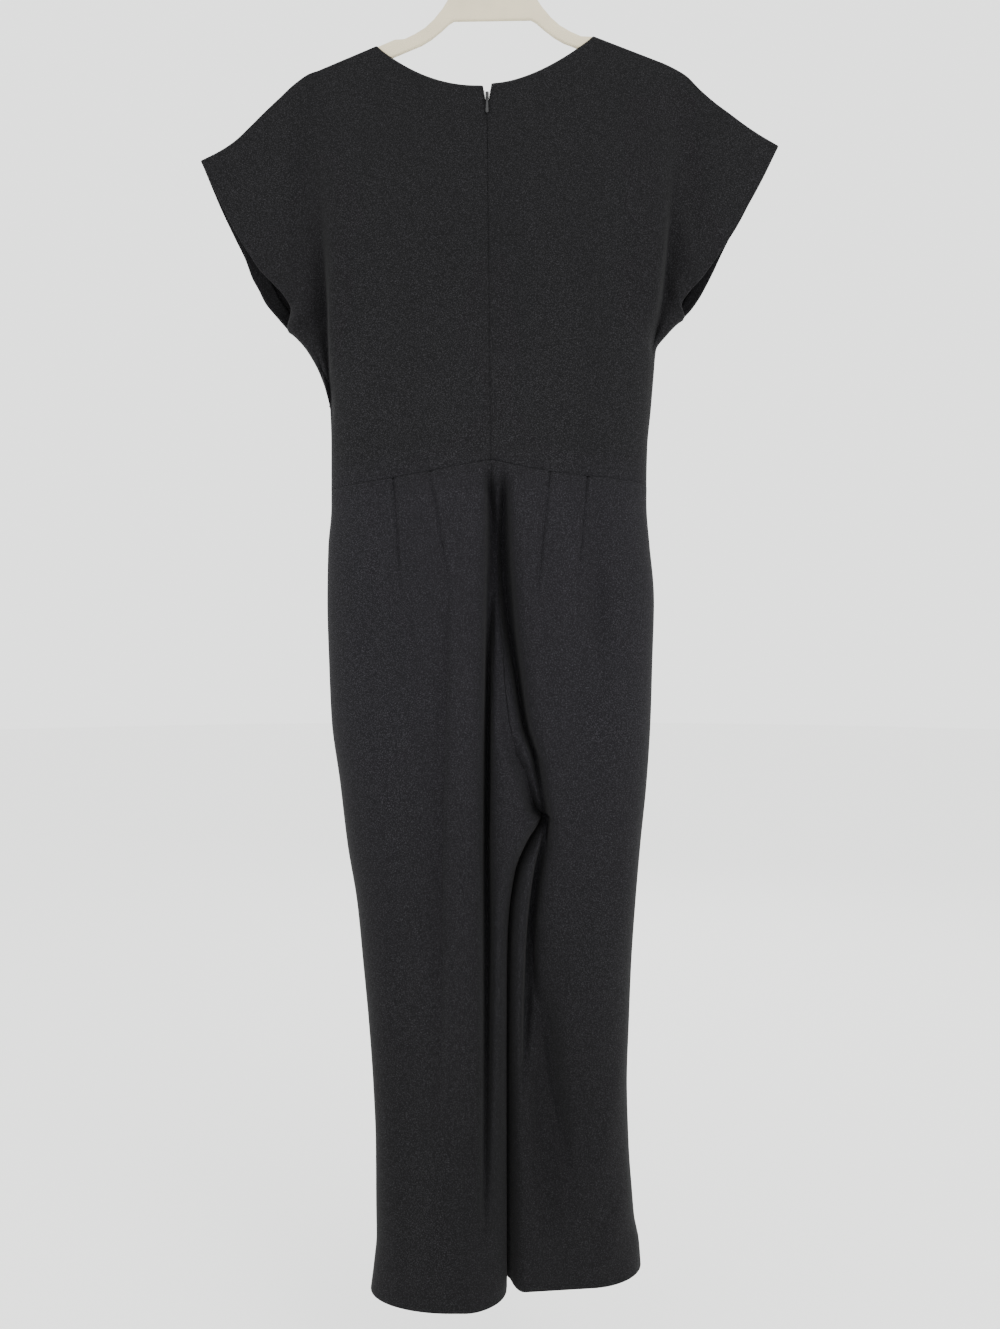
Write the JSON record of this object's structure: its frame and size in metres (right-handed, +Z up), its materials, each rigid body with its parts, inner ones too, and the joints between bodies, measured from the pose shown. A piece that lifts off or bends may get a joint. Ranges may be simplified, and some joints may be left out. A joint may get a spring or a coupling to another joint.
{
  "type": "jumpsuit on hanger",
  "caption": "Short-sleeved tapered jumpsuit with a back zip and round neck, hung flat on a plastic hanger",
  "frame": {"origin": "inside top of the hanger's hook, where a rail carries it", "axes": "+Z up, -Y towards the garment's back with the zip, +X towards the wearer's right"},
  "size_m": [0.6576, 0.1082, 1.5579],
  "materials": {
    "black_crepe": "matt pebbly crepe weave with a faint sheen",
    "zip_tape": "plain black woven tape",
    "zip_metal": "dark grey lacquered zip metal",
    "hanger_plastic": "beige moulded plastic, satin",
    "hook_steel": "bright plated steel wire"
  },
  "bodies": {
    "garment": {"back_bodice_left": "black_crepe", "back_bodice_right": "black_crepe", "front_bodice": "black_crepe", "back_leg_left": "black_crepe", "back_leg_right": "black_crepe", "front_leg_left": "black_crepe", "front_leg_right": "black_crepe", "zip_tape_left": "zip_tape", "zip_tape_right": "zip_tape", "zip_slider": "zip_metal", "hanger": "hanger_plastic", "hanger_hook": "hook_steel"},
    "zip_pull": {"zip_pull": "zip_metal"}
  },
  "joints": [
    {"name": "pull_swing", "type": "hinge", "parent": "garment", "child": "zip_pull", "pos_m": [-0.0042, -0.0233, -0.2114], "axis": [-1, 0, 0], "range_deg": [0, 150]}
  ]
}
